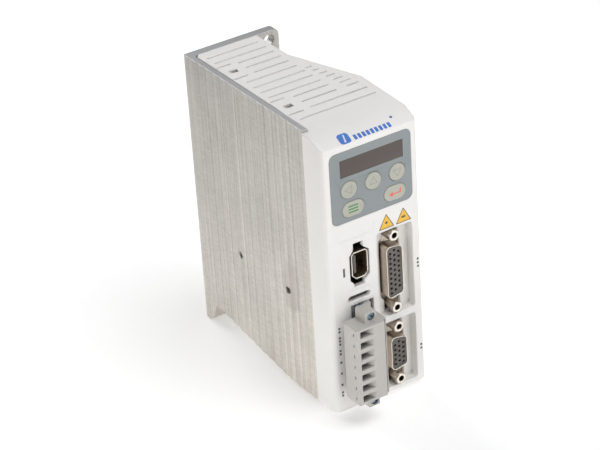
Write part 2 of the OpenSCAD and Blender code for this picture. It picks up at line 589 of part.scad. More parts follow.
heatsink_chassis();
front_cover();
label_overlay();
display_window();
key_left();
key_up();
key_down();
key_mode();
key_enter();
plunger_left();
plunger_up();
plunger_down();
plunger_mode();
plunger_enter();
tact_switches();
display_pcb();
display_module();
display_screws();
display_connector();
control_pcb();
control_chips();
power_pcb();
terminal_board();
board_header();
cn1_shell();
cn1_insulator();
cn1_contacts();
cn1_jackscrews();
cn2_shell();
cn2_insulator();
cn2_contacts();
cn2_jackscrews();
cn3_shell();
cn3_insulator();
cn3_tongue();
cn3_contacts();
terminal_header();
header_pins();
flange_nuts();
plug_body();
plug_clamps();
plug_screw_top();
plug_screw_bottom();
capacitors();
power_transistors();
thermal_pad();
clamp_bar();
clamp_screws();
standoffs();
board_spacers();
board_screws();
transformer();
relay();
inductor();
fuse();
current_shunts();
latch_brackets();
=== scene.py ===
import bpy
import bmesh
import json
import math
from mathutils import Vector, Matrix
from mathutils.bvhtree import BVHTree


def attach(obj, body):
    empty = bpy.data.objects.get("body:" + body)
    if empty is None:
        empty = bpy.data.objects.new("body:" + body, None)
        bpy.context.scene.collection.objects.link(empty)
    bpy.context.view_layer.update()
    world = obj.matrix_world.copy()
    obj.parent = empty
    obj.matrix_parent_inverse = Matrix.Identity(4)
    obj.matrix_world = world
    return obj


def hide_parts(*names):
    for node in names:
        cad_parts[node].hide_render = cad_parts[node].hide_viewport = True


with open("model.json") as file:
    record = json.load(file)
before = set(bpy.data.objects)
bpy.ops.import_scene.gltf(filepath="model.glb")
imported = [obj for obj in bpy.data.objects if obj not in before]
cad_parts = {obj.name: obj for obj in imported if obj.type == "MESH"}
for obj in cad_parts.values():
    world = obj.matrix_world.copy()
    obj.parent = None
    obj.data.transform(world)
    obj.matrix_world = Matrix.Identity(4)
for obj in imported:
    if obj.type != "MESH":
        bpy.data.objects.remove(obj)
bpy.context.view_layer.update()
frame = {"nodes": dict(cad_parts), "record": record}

NODES = frame["nodes"]
REC = frame["record"]
BODY_OF = {n: b for b, ns in REC["behaviour"]["bodies"].items() for n in ns}
W, D, H = 0.0438, 0.100, 0.126          # drive size, metres
MM = 0.001


def P(x, y, z):
    """Drive space (mm from left face, front face, top edge) to the row frame in metres."""
    return Vector((x * MM - W / 2, y * MM - D, z * MM + H / 2))


# ------------------------------------------------------------------ node helpers
class Tree:
    def __init__(self, name):
        self.mat = bpy.data.materials.new(name)
        self.mat.use_nodes = True
        self.nt = self.mat.node_tree
        self.nt.nodes.clear()
        self.out = self.nt.nodes.new("ShaderNodeOutputMaterial")
        self.b = self.nt.nodes.new("ShaderNodeBsdfPrincipled")
        self.nt.links.new(self.b.outputs[0], self.out.inputs[0])
        tc = self.nt.nodes.new("ShaderNodeTexCoord")
        self.obj = tc.outputs["Object"]

    def link(self, a, b):
        self.nt.links.new(a, b)

    def setin(self, sock, v):
        if isinstance(v, bpy.types.NodeSocket):
            self.link(v, sock)
        else:
            sock.default_value = v

    def mapping(self, scale=(1, 1, 1), loc=(0, 0, 0), rot=(0, 0, 0), src=None):
        m = self.nt.nodes.new("ShaderNodeMapping")
        m.inputs["Scale"].default_value = scale
        m.inputs["Location"].default_value = loc
        m.inputs["Rotation"].default_value = rot
        self.link(src or self.obj, m.inputs["Vector"])
        return m.outputs[0]

    def noise(self, scale, detail=3, rough=0.5, vec=None, dist=0.0):
        n = self.nt.nodes.new("ShaderNodeTexNoise")
        n.inputs["Scale"].default_value = scale
        n.inputs["Detail"].default_value = detail
        n.inputs["Roughness"].default_value = rough
        n.inputs["Distortion"].default_value = dist
        self.link(vec or self.obj, n.inputs["Vector"])
        return n.outputs["Fac"]

    def voronoi(self, scale, vec=None, feature="F1"):
        n = self.nt.nodes.new("ShaderNodeTexVoronoi")
        n.feature = feature
        n.inputs["Scale"].default_value = scale
        self.link(vec or self.obj, n.inputs["Vector"])
        return n.outputs["Distance"]

    def math(self, op, a, b=0.0, clamp=False):
        n = self.nt.nodes.new("ShaderNodeMath")
        n.operation = op
        n.use_clamp = clamp
        self.setin(n.inputs[0], a)
        self.setin(n.inputs[1], b)
        return n.outputs[0]

    def ramp(self, fac, lo, hi, a=0.0, b=1.0):
        n = self.nt.nodes.new("ShaderNodeMapRange")
        n.inputs["From Min"].default_value = lo
        n.inputs["From Max"].default_value = hi
        n.inputs["To Min"].default_value = a
        n.inputs["To Max"].default_value = b
        self.link(fac, n.inputs["Value"])
        return n.outputs[0]

    def mix(self, fac, a, b, mode="MIX"):
        n = self.nt.nodes.new("ShaderNodeMix")
        n.data_type = "RGBA"
        n.blend_type = mode
        self.setin(n.inputs[0], fac)
        for s, v in ((n.inputs[6], a), (n.inputs[7], b)):
            if isinstance(v, bpy.types.NodeSocket):
                self.link(v, s)
            else:
                s.default_value = (*v, 1.0)
        return n.outputs[2]

    def xyz(self, src=None):
        n = self.nt.nodes.new("ShaderNodeSeparateXYZ")
        self.link(src or self.obj, n.inputs[0])
        return n.outputs

    def bump(self, height, strength, dist, normal=None):
        n = self.nt.nodes.new("ShaderNodeBump")
        n.inputs["Strength"].default_value = strength
        n.inputs["Distance"].default_value = dist
        self.link(height, n.inputs["Height"])
        if normal is not None:
            self.link(normal, n.inputs["Normal"])
        return n.outputs[0]

    def edge(self, radius):
        """0 on flat faces, rising on convex and concave edges."""
        bv = self.nt.nodes.new("ShaderNodeBevel")
        bv.samples = 4
        bv.inputs["Radius"].default_value = radius
        g = self.nt.nodes.new("ShaderNodeNewGeometry")
        d = self.nt.nodes.new("ShaderNodeVectorMath")
        d.operation = "DOT_PRODUCT"
        self.link(bv.outputs[0], d.inputs[0])
        self.link(g.outputs["Normal"], d.inputs[1])
        return self.ramp(d.outputs["Value"], 0.995, 0.80)

    def soft(self, radius):
        bv = self.nt.nodes.new("ShaderNodeBevel")
        bv.samples = 4
        bv.inputs["Radius"].default_value = radius
        return bv.outputs[0]

    def ao(self, dist):
        n = self.nt.nodes.new("ShaderNodeAmbientOcclusion")
        n.samples = 4
        n.inputs["Distance"].default_value = dist
        return n.outputs["AO"]

    def facing(self, axis, lo, hi, sign=1.0):
        """How far a face points along an object axis."""
        g = self.nt.nodes.new("ShaderNodeNewGeometry")
        n = self.xyz(g.outputs["Normal"])[axis]
        if sign < 0:
            n = self.math("MULTIPLY", n, -1.0)
        n = self.ramp(n, lo, hi)
        return n

    def const(self, **kw):
        for k, v in kw.items():
            k = k.replace("_", " ")
            self.b.inputs[k].default_value = v


def plastic(name, col, rough=0.42, grain=0.35, grain_mm=0.35, var=0.03, dust_and_shade=0.06, wear=0.25, coat=0.0, tint=(1.0, 0.97, 0.92), rounding=0.2, hole_shade=0.0, flank_shade=0.0, recess_fill_light=0.0):
    """Moulded plastic: mottled colour, spark-eroded grain, polished edges, dust and painted shade in corners, painted
    shade in deep holes, painted light in recesses, painted shade on the left flank.
    """
    t = Tree(name)
    big = t.noise(28, 3, 0.55)
    mid = t.noise(240, 4, 0.6)
    f = t.math("ADD", t.math("MULTIPLY", big, 0.6), t.math("MULTIPLY", mid, 0.4))
    f = t.ramp(f, 0.3, 0.7)
    c1 = tuple(c * (1 - var) for c in col)
    c2 = tuple(min(1, c * (1 + var)) for c in col)
    base = t.mix(f, c1, c2)
    e = t.edge(0.00035)
    light = tuple(min(1.0, c * 1.06 + 0.01) for c in col)
    base = t.mix(t.math("MULTIPLY", e, wear), base, light)
    if dust_and_shade:
        # dust and painted shade: corners found by ambient occlusion darken, dappled by noise
        a = t.ramp(t.ao(0.003), 0.75, 0.2)
        dust_shade_col = tuple(c * 0.55 * k for c, k in zip(col, tint))
        base = t.mix(t.math("MULTIPLY", t.math("MULTIPLY", a, t.ramp(mid, 0.3, 0.75)), dust_and_shade * 4), base, dust_shade_col)
    if hole_shade:
        # painted shade: deep holes found by ambient occlusion go nearly black
        hole = t.math("MULTIPLY", t.ramp(t.ao(0.006), 0.42, 0.14), hole_shade)
        base = t.mix(hole, base, tuple(c * 0.05 for c in col))
    if recess_fill_light:
        # painted light: recesses found by ambient occlusion are lifted towards near-white
        base = t.mix(t.math("MULTIPLY", t.ramp(t.ao(0.012), 0.70, 0.40), recess_fill_light), base, (0.95, 0.93, 0.91))
    if flank_shade:
        # painted shade: the left flank greys towards the top
        z = t.xyz()[2]
        g = t.math("MULTIPLY", t.facing(0, 0.4, 0.9, -1.0), t.ramp(z, -0.03, 0.06, 0.0, flank_shade))
        base = t.mix(g, base, (0.30, 0.27, 0.24))
    t.link(base, t.b.inputs["Base Color"])
    r = t.ramp(mid, 0.25, 0.75, rough - 0.05, rough + 0.06)
    r = t.math("SUBTRACT", r, t.math("MULTIPLY", e, 0.08))
    t.link(r, t.b.inputs["Roughness"])
    g = t.noise(1000 / grain_mm, 2, 0.5)
    h = t.math("ADD", t.math("MULTIPLY", g, 0.7), t.math("MULTIPLY", t.noise(90, 2), 1.6))
    t.link(t.bump(h, grain, 0.00004, t.soft(rounding * MM)), t.b.inputs["Normal"])
    t.const(IOR=1.48)
    if coat:
        t.const(Coat_Weight=coat, Coat_Roughness=0.25)
    return t.mat


def metal(name, col, rough=0.28, brushed=None, var=0.08, scratch=0.3, spots=0.1, metallic=1.0, front=None, hole_shade=0.0):
    """Plated or turned metal: tone variation, fine brushing, handling marks, painted highlights on edges and front
    faces, painted shade in holes.
    """
    t = Tree(name)
    vec = t.mapping(scale=brushed) if brushed else t.obj
    line = t.noise(1.0 if brushed else 900, 3, 0.6, vec)
    blot = t.noise(120, 4, 0.6)
    f = t.math("ADD", t.math("MULTIPLY", line, 0.5), t.math("MULTIPLY", blot, 0.5))
    f = t.ramp(f, 0.32, 0.68)
    base = t.mix(f, tuple(c * (1 - var) for c in col), tuple(min(1, c * (1 + var)) for c in col))
    e = t.edge(0.0002)
    # painted highlight: edges lightened
    base = t.mix(t.math("MULTIPLY", e, 0.4), base, tuple(min(1, c * 1.25) for c in col))
    sp = t.ramp(t.noise(700, 2, 0.4), 0.62, 0.75, 0.0, spots)
    base = t.mix(sp, base, tuple(c * 0.5 for c in col))
    if front:
        # painted highlight: faces turned to the front take the lighter front colour
        base = t.mix(t.facing(1, 0.75, 0.97, -1.0), base, front)
    if hole_shade:
        # painted shade: holes found by ambient occlusion go nearly black
        base = t.mix(t.math("MULTIPLY", t.ramp(t.ao(0.004), 0.60, 0.18), hole_shade), base, (0.045, 0.033, 0.025))
    t.link(base, t.b.inputs["Base Color"])
    t.link(t.ramp(f, 0, 1, rough + 0.07, rough - 0.06), t.b.inputs["Roughness"])
    h = t.math("ADD", t.math("MULTIPLY", line, 1.0), t.math("MULTIPLY", t.noise(1800, 2), 0.4))
    t.link(t.bump(h, scratch, 0.00002), t.b.inputs["Normal"])
    t.const(Metallic=metallic)
    return t.mat


def extruded(name, col):
    """Mill-finish extrusion: die lines along Z, faint cross grain, blotches and a handling stain."""
    t = Tree(name)
    x, y, z = t.xyz()
    die = t.noise(1.0, 3, 0.65, t.mapping(scale=(1600, 1600, 5)))
    die2 = t.noise(1.0, 2, 0.5, t.mapping(scale=(420, 420, 3)))
    cross = t.noise(1.0, 3, 0.7, t.mapping(scale=(300, 300, 1500)))
    blot = t.noise(38, 4, 0.6)
    speck = t.noise(2600, 2, 0.6)
    f = t.math("ADD", t.math("MULTIPLY", die, 0.34), t.math("MULTIPLY", die2, 0.12))
    f = t.math("ADD", f, t.math("MULTIPLY", cross, 0.24))
    f = t.math("ADD", f, t.math("MULTIPLY", speck, 0.14))
    f = t.math("ADD", f, t.math("MULTIPLY", blot, 0.16))
    f = t.ramp(f, 0.38, 0.62)
    base = t.mix(f, tuple(c * 0.75 for c in col), tuple(min(1, c * 1.20) for c in col))
    # painted shade: a dark line in each groove, and a painted highlight on the crest beside it
    wob = t.math("MULTIPLY", t.math("SUBTRACT", t.noise(60, 2), 0.5), 0.0004)
    u = t.math("FRACT", t.math("MULTIPLY", t.math("ADD", t.math("ADD", y, wob), 0.0872 + 0.0545), 1 / 0.00545))
    near = t.math("ABSOLUTE", t.math("SUBTRACT", u, 0.5))
    flank = t.facing(0, 0.5, 0.9, -1.0)
    line = t.math("MULTIPLY", t.math("MULTIPLY", t.ramp(near, 0.43, 0.49), t.ramp(t.noise(160, 3), 0.3, 0.7, 0.12, 0.30)), flank)
    base = t.mix(line, base, (0.25, 0.24, 0.225))
    crest_highlight = t.math("ABSOLUTE", t.math("SUBTRACT", u, 0.16))
    base = t.mix(t.math("MULTIPLY", t.ramp(crest_highlight, 0.10, 0.0, 0.0, 0.14), flank), base, (0.86, 0.85, 0.83))
    # painted reflection: faces turned up are lighter and bluish
    base = t.mix(t.facing(2, 0.7, 0.95), base, (0.72, 0.735, 0.76))
    # painted bounce light from the floor: warmer and lighter towards the bottom of the flank and towards the front
    floor_bounce_light = t.math("ADD", t.ramp(z, 0.055, -0.06, 0.0, 0.75), t.ramp(y, -0.02, -0.09, 0.0, 0.25))
    base = t.mix(1.0, base, t.mix(floor_bounce_light, (0.78, 0.77, 0.76), (1.30, 1.26, 1.22)), "MULTIPLY")
    # handling stain near the front screw
    c = P(0, 27.5, -77)
    dy = t.math("MULTIPLY", t.math("SUBTRACT", y, c.y), 1 / 0.0065)
    dz = t.math("MULTIPLY", t.math("SUBTRACT", z, c.z), 1 / 0.0125)
    r2 = t.math("ADD", t.math("MULTIPLY", dy, dy), t.math("MULTIPLY", dz, dz))
    st = t.math("ADD", r2, t.math("MULTIPLY", t.math("SUBTRACT", t.noise(190, 3), 0.5), 1.6))
    ring = t.ramp(st, 1.25, 0.55)
    base = t.mix(t.math("MULTIPLY", ring, 0.34), base, (0.32, 0.28, 0.26))
    # painted highlight: edges lightened
    e = t.edge(0.0003)
    base = t.mix(t.math("MULTIPLY", e, 0.45), base, (0.80, 0.80, 0.79))
    t.link(base, t.b.inputs["Base Color"])
    t.link(t.math("SUBTRACT", t.ramp(f, 0, 1, 0.52, 0.40), t.math("MULTIPLY", e, 0.1)), t.b.inputs["Roughness"])
    h = t.math("ADD", t.math("MULTIPLY", die, 1.0), t.math("MULTIPLY", cross, 0.35))
    h = t.math("ADD", h, t.math("MULTIPLY", speck, 0.25))
    t.link(t.bump(h, 0.45, 0.00004), t.b.inputs["Normal"])
    t.const(Metallic=0.82)
    return t.mat


def window_mat(name):
    t = Tree(name)
    f = t.ramp(t.noise(60, 3), 0.3, 0.7)
    x, y, z = t.xyz()
    # painted shade: darker towards the right
    shade_grad = t.ramp(x, P(8, 0, 0).x, P(38, 0, 0).x)
    base = t.mix(f, (0.078, 0.057, 0.050), (0.087, 0.065, 0.057))
    base = t.mix(t.math("MULTIPLY", shade_grad, 0.35), base, (0.070, 0.054, 0.049))
    t.link(base, t.b.inputs["Base Color"])
    t.link(t.ramp(t.noise(500, 3), 0.3, 0.7, 0.30, 0.36), t.b.inputs["Roughness"])
    t.link(t.bump(t.noise(500, 2), 0.1, 0.00001), t.b.inputs["Normal"])
    t.const(IOR=1.49, Coat_Weight=0.1, Coat_Roughness=0.2)
    return t.mat


def pcb_mat(name, col=(0.02, 0.16, 0.06)):
    """Solder mask over tracks: a rectilinear pattern of slightly raised, lighter copper."""
    t = Tree(name)
    x, y, z = t.xyz()
    s = t.mapping(scale=(700, 700, 700))
    v = t.nt.nodes.new("ShaderNodeTexVoronoi")
    v.distance = "MANHATTAN"
    v.inputs["Scale"].default_value = 1.0
    t.link(s, v.inputs["Vector"])
    tr = t.ramp(v.outputs["Distance"], 0.34, 0.40)
    base = t.mix(tr, col, (col[0] * 1.9, col[1] * 1.7, col[2] * 1.8))
    base = t.mix(t.ramp(t.noise(90, 3), 0.4, 0.7, 0, 0.3), base, tuple(c * 0.6 for c in col))
    t.link(base, t.b.inputs["Base Color"])
    t.link(t.ramp(t.noise(400, 3), 0.3, 0.7, 0.25, 0.4), t.b.inputs["Roughness"])
    t.link(t.bump(tr, 0.5, 0.00003), t.b.inputs["Normal"])
    return t.mat


def ink(name, col, rough=0.5, var=0.08):
    """Printed ink: slightly uneven density."""
    t = Tree(name)
    f = t.ramp(t.noise(900, 3, 0.6), 0.3, 0.7)
    t.link(t.mix(f, tuple(c * (1 - var) for c in col), tuple(min(1, c * (1 + var)) for c in col)), t.b.inputs["Base Color"])
    t.link(t.ramp(t.noise(1500, 2), 0.3, 0.7, rough - 0.06, rough + 0.08), t.b.inputs["Roughness"])
    t.link(t.bump(t.noise(2500, 2), 0.15, 0.00001), t.b.inputs["Normal"])
    return t.mat


M = {
    "aluminium": extruded("mill_aluminium", (0.56, 0.545, 0.515)),
    "white_plastic": plastic("white_plastic", (0.83, 0.815, 0.795), 0.40, 0.30, 0.30, 0.02, 0.02, 0.3, rounding=0.8, flank_shade=0.28, recess_fill_light=0.9),
    "overlay_grey": plastic("overlay_film", (0.262, 0.288, 0.296), 0.46, 0.25, 0.18, 0.05, 0.03, 0.15),
    "smoked_window": window_mat("smoked_window"),
    "key_cream": plastic("key_cream", (0.44, 0.435, 0.375), 0.38, 0.22, 0.22, 0.04, 0.10, 0.35, coat=0.15),
    "black_plastic": plastic("black_plastic", (0.018, 0.018, 0.019), 0.38, 0.4, 0.25, 0.25, 0.02, 0.5),
    "dark_grey_plastic": plastic("insulator_grey", (0.122, 0.109, 0.098), 0.42, 0.35, 0.2, 0.08, 0.08, 0.25, hole_shade=0.9),
    "terminal_grey": plastic("terminal_grey", (0.505, 0.485, 0.455), 0.40, 0.30, 0.25, 0.04, 0.08, 0.35, rounding=0.3, hole_shade=0.95),
    "cream_plastic": plastic("cream_plastic", (0.66, 0.61, 0.47), 0.4, 0.3, 0.25, 0.05, 0.06, 0.3),
    "nickel": metal("nickel_plate", (0.58, 0.495, 0.41), 0.30, None, 0.10, 0.10, 0.12, front=(0.86, 0.81, 0.74), hole_shade=0.85),
    "zinc_steel": metal("zinc_steel", (0.60, 0.61, 0.62), 0.30, (1500, 60, 1500), 0.10, 0.3, 0.12, hole_shade=0.6),
    "blued_steel": metal("blued_steel", (0.30, 0.43, 0.52), 0.32, None, 0.15, 0.3, 0.2),
    "brass": metal("turned_brass", (0.72, 0.55, 0.27), 0.28, (60, 1500, 1500), 0.10, 0.3, 0.12),
    "gold_contact": metal("gold_contact", (0.83, 0.62, 0.28), 0.22, None, 0.08, 0.15, 0.05),
    "pcb": pcb_mat("solder_mask"),
    "silicone_pad": plastic("silicone_pad", (0.52, 0.53, 0.54), 0.7, 0.5, 0.4, 0.06, 0.05, 0.1),
    "cap_sleeve": plastic("cap_sleeve", (0.03, 0.045, 0.11), 0.25, 0.1, 0.4, 0.2, 0.03, 0.3, coat=0.3),
    "copper_wire": metal("enamelled_copper", (0.60, 0.26, 0.10), 0.25, (1400, 200, 200), 0.15, 0.5, 0.1),
    "ceramic": plastic("glazed_ceramic", (0.72, 0.70, 0.66), 0.18, 0.12, 0.5, 0.04, 0.04, 0.1),
}
INK = {
    "dark": ink("ink_dark", (0.085, 0.083, 0.083)),
    "grey": ink("ink_grey", (0.25, 0.26, 0.225)),
    "pale": ink("ink_pale", (0.62, 0.70, 0.82)),
    "green": ink("ink_green", (0.075, 0.27, 0.085)),
    "coral": ink("ink_coral", (0.86, 0.135, 0.085)),
    "yellow": ink("ink_yellow", (0.86, 0.50, 0.045), 0.38),
    "blue": ink("ink_blue", (0.045, 0.17, 0.56), 0.42),
}
SLOT_OF = {s["node"]: s["material_slot"] for s in REC["subparts"]}


# ------------------------------------------------------------------ geometry helpers
def link_obj(name, me):
    o = bpy.data.objects.new(name, me)
    bpy.context.scene.collection.objects.link(o)
    return o


def sharpen(me, angle=28):
    for p in me.polygons:
        p.use_smooth = True
    me.set_sharp_from_angle(angle=math.radians(angle))


def strays(o, tree, tol):
    """Triangles of the rounded mesh that lie off the surface they came from."""
    dg = bpy.context.evaluated_depsgraph_get()
    dg.update()
    ev = o.evaluated_get(dg)
    m = ev.to_mesh()
    m.calc_loop_triangles()
    n = 0
    for t in m.loop_triangles:
        if t.area < 1e-10:
            continue
        c = sum((m.vertices[i].co for i in t.vertices), Vector()) / 3
        if tree.find_nearest(c)[3] > tol:
            n += 1
    ev.to_mesh_clear()
    return n


WEIGHTED = {"front_cover", "plug_body", "heatsink_chassis", "terminal_header"}


def refine(node, width=0.00015, segs=2, angle=30, mat=None, skip=None):
    """A finer copy of a CAD node: planar faces joined, edges rounded, smooth curved faces."""
    src = bmesh.new()
    src.from_mesh(NODES[node].data)
    bmesh.ops.remove_doubles(src, verts=src.verts, dist=1.5e-6)
    tree = BVHTree.FromBMesh(src)
    me = bpy.data.meshes.new(node)
    o = link_obj(node + "_fine", me)
    b = o.modifiers.new("edge", "BEVEL")
    b.segments = segs
    b.limit_method = "WEIGHT"
    b.use_clamp_overlap = False
    b.harden_normals = True
    b.miter_outer = "MITER_ARC"
    b.profile = 0.6
    lim = math.radians(angle)
    done = False
    for k in (1.0, 0.6, 0.35, 0.15, 0.0):
        for dissolve in (0.0, 0.4):
            bm = src.copy()
            if dissolve:
                bmesh.ops.dissolve_limit(bm, angle_limit=math.radians(dissolve), verts=bm.verts, edges=bm.edges)
            bm.to_mesh(me)
            sharp = [len(e.link_faces) == 2 and e.calc_face_angle(0.0) > lim and not (skip and skip(e)) for e in bm.edges]
            bm.free()
            sharpen(me, angle)
            att = me.attributes.get("bevel_weight_edge") or me.attributes.new("bevel_weight_edge", "FLOAT", "EDGE")
            att.data.foreach_set("value", [1.0 if v else 0.0 for v in sharp])
            b.width = max(width * k, 1e-6)
            if k == 0.0:
                o.modifiers.remove(b)
            if k == 0.0 or strays(o, tree, width * k * 0.8 + 0.00003) == 0:
                done = True
                break
        if done:
            break
    if k < 1.0:
        print("refine", node, "width factor", k, "dissolve", dissolve)
    if node in WEIGHTED:
        if "edge" in o.modifiers:
            o.modifiers["edge"].harden_normals = False
        w = o.modifiers.new("flat", "WEIGHTED_NORMAL")
        w.keep_sharp = True
        w.weight = 90
    src.free()
    me.materials.clear()
    me.materials.append(mat or M[SLOT_OF[node]])
    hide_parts(node)
    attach(o, BODY_OF[node])
    return o


def prism(name, outline, y0, y1, mat, body="chassis", xform=None, bevel=0.0):
    """A flat shape in the front plane: outline is [(x, z)] in drive space, mm."""
    bm = bmesh.new()
    f = [bm.verts.new(P(x, y0, z)) for x, z in outline]
    b = [bm.verts.new(P(x, y1, z)) for x, z in outline]
    n = len(outline)
    bm.faces.new(f)
    bm.faces.new(list(reversed(b)))
    for i in range(n):
        bm.faces.new([f[i], b[i], b[(i + 1) % n], f[(i + 1) % n]])
    bmesh.ops.recalc_face_normals(bm, faces=bm.faces)
    if xform:
        bmesh.ops.transform(bm, matrix=xform, verts=bm.verts)
    me = bpy.data.meshes.new(name)
    bm.to_mesh(me)
    bm.free()
    sharpen(me)
    me.materials.append(mat)
    o = link_obj(name, me)
    if bevel:
        m = o.modifiers.new("edge", "BEVEL")
        m.width = bevel
        m.segments = 2
        m.limit_method = "ANGLE"
        m.harden_normals = True
    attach(o, body)
    return o


def obround(cx, cz, a, r, n=20):
    """Half straight length a, radius r."""
    pts = []
    for k in range(n + 1):
        t = -math.pi / 2 + math.pi * k / n
        pts.append((cx + a + r * math.cos(t), cz + r * math.sin(t)))
    for k in range(n + 1):
        t = math.pi / 2 + math.pi * k / n
        pts.append((cx - a + r * math.cos(t), cz + r * math.sin(t)))
    return pts


def rrect(x1, x2, z1, z2, r, n=5):
    pts = []
    for cx, cz, s in ((x2 - r, z2 - r, 0), (x1 + r, z2 - r, 90), (x1 + r, z1 + r, 180), (x2 - r, z1 + r, 270)):
        for k in range(n + 1):
            t = math.radians(s + 90 * k / n)
            pts.append((cx + r * math.cos(t), cz + r * math.sin(t)))
    return pts


# ------------------------------------------------------------------ refined CAD pieces
FINE = {
    "heatsink_chassis": (0.00030, 3, 40), "front_cover": (0.00022, 2, 32), "label_overlay": (0.00008, 2, 32),
    "display_window": (0.00010, 2, 32), "cn1_shell": (0.00018, 3, 30), "cn2_shell": (0.00018, 3, 30),
    "cn1_insulator": (0.00008, 2, 30), "cn2_insulator": (0.00008, 2, 30),
    "cn1_jackscrews": (0.00030, 3, 32), "cn2_jackscrews": (0.00030, 3, 32),
    "cn3_shell": (0.00012, 2, 30), "cn3_insulator": (0.00015, 2, 30), "cn3_tongue": (0.00015, 2, 30), "cn3_contacts": (0.00004, 1, 30),
    "plug_body": (0.00020, 2, 32), "plug_clamps": (0.00006, 1, 30),
    "plug_screw_top": (0.00012, 2, 30), "plug_screw_bottom": (0.00012, 2, 30),
    "terminal_header": (0.00015, 2, 30), "header_pins": (0.00012, 2, 30), "flange_nuts": (0.0001, 2, 30),
    "latch_brackets": (0.00015, 2, 30), "tact_switches": (0.00015, 2, 30), "display_module": (0.0003, 2, 30),
    "capacitors": (0.0006, 3, 30), "power_transistors": (0.0001, 1, 30), "clamp_bar": (0.0002, 2, 30),
    "clamp_screws": (0.0003, 2, 30), "relay": (0.0004, 2, 30), "transformer": (0.0003, 2, 30),
    "board_header": (0.00015, 2, 30), "display_connector": (0.0002, 2, 30), "control_chips": (0.00015, 2, 30),
    "fuse": (0.0003, 2, 30), "board_screws": (0.0003, 2, 30), "display_screws": (0.0002, 2, 30),
}
fine = {}
def shallow(e):
    """Edges of the shallow marks moulded in the cover, too low to round."""
    m = (e.verts[0].co + e.verts[1].co) / 2
    x, y, z = (m.x + W / 2) / MM, (m.y + D) / MM, (m.z - H / 2) / MM
    if z > -1.6 and 11 < y < 19.5 and 18 < x < 28:
        return True
    if -0.1 < y < 0.3 and ((5 < x < 23 and -47 < z < -42) or (7.5 < x < 20.8 and -70.2 < z < -69.2)):
        return True
    if -0.1 < y < 2.6 and 9.5 < x < 20.5 and -69 < z < -48.5:
        return True
    return 0.35 < y < 0.45


for node, (w, s, a) in FINE.items():
    fine[node] = refine(node, w, s, a, skip=shallow if node == "front_cover" else None)
for node, o in NODES.items():
    if node in FINE or node.startswith("key_"):
        continue
    o.data.materials.clear()
    o.data.materials.append(M[SLOT_OF[node]])
    sharpen(o.data)

# ------------------------------------------------------------------ keys
ROUND = {"key_left": (12.0, -24.4), "key_up": (23.4, -24.4), "key_down": (34.8, -24.4)}
OVAL = {"key_mode": (13.5, -33.1), "key_enter": (33.3, -33.1)}


def key(node, cx, cz, a, r):
    """A soft-edged cap with a raised rim and a shallow dish, over its collar and stem."""
    prof = [(0.5, 3.0), (0.5, 2.25), (0.0, 2.25), (0.0, -0.10), (-0.05, -0.22), (-0.16, -0.31), (-0.34, -0.345), (-0.55, -0.33),
            (-0.75, -0.27), (-0.95, -0.235), (-1.5, -0.25), (-2.2, -0.28), (-2.9, -0.295)]
    bm = bmesh.new()
    loops = []
    for dr, y in prof:
        rr = max(r + dr, 0.25)
        aa = a if r + dr > 0.25 else max(a + (r + dr - 0.25), 0.05)
        loops.append([bm.verts.new(P(x, y, z)) for x, z in obround(cx, cz, max(aa, 0.0005), rr, 24)])
    n = len(loops[0])
    for A, B in zip(loops, loops[1:]):
        for i in range(n):
            bm.faces.new([A[i], A[(i + 1) % n], B[(i + 1) % n], B[i]])
    bm.faces.new(loops[-1])
    # back of the collar and the stem
    st = [[bm.verts.new(P(cx + 1.6 * math.cos(t), y, cz + 1.6 * math.sin(t))) for t in [2 * math.pi * k / 24 for k in range(24)]] for y in (3.0, 5.45)]
    bm.faces.new(list(reversed(loops[0])))
    for i in range(24):
        bm.faces.new([st[0][i], st[0][(i + 1) % 24], st[1][(i + 1) % 24], st[1][i]])
    bm.faces.new(st[1])
    bm.faces.new(list(reversed(st[0])))
    bmesh.ops.remove_doubles(bm, verts=bm.verts, dist=1e-7)
    bmesh.ops.recalc_face_normals(bm, faces=bm.faces)
    me = bpy.data.meshes.new(node)
    bm.to_mesh(me)
    bm.free()
    sharpen(me, 40)
    me.materials.append(M["key_cream"])
    o = link_obj(node + "_cap", me)
    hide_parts(node)
    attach(o, BODY_OF[node])
    return o


for node, (x, z) in ROUND.items():
    key(node, x, z, 0.0, 3.7)
for node, (x, z) in OVAL.items():
    key(node, x, z, 1.8, 3.3)


def ring_tri(name, cx, cz, size, wdt, turn, mat, body, y=-0.30):
    """Outlined triangle pointing along turn (degrees from +x)."""
    bm = bmesh.new()
    vo, vi, bo, bi = [], [], [], []
    for k in range(3):
        t = math.radians(turn + 120 * k)
        for lst, s, yy in ((vo, size, y), (vi, size - wdt * 2, y), (bo, size, y + 0.06), (bi, size - wdt * 2, y + 0.06)):
            lst.append(bm.verts.new(P(cx + s * math.cos(t), yy, cz + s * math.sin(t))))
    for i in range(3):
        j = (i + 1) % 3
        bm.faces.new([vo[i], vo[j], vi[j], vi[i]])
        bm.faces.new([vo[i], bo[i], bo[j], vo[j]])
        bm.faces.new([vi[j], bi[j], bi[i], vi[i]])
        bm.faces.new([bo[j], bo[i], bi[i], bi[j]])
    bmesh.ops.recalc_face_normals(bm, faces=bm.faces)
    me = bpy.data.meshes.new(name)
    bm.to_mesh(me)
    bm.free()
    me.materials.append(mat)
    o = link_obj(name, me)
    m = o.modifiers.new("round", "BEVEL")
    m.width = 0.00008
    m.segments = 2
    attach(o, body)
    return o


ring_tri("mark_left", 12.1, -24.4, 2.2, 0.20, 180, INK["grey"], "key_left")
ring_tri("mark_up", 23.4, -24.6, 2.2, 0.20, 90, INK["grey"], "key_up")
ring_tri("mark_down", 34.8, -24.2, 2.2, 0.20, 270, INK["grey"], "key_down")
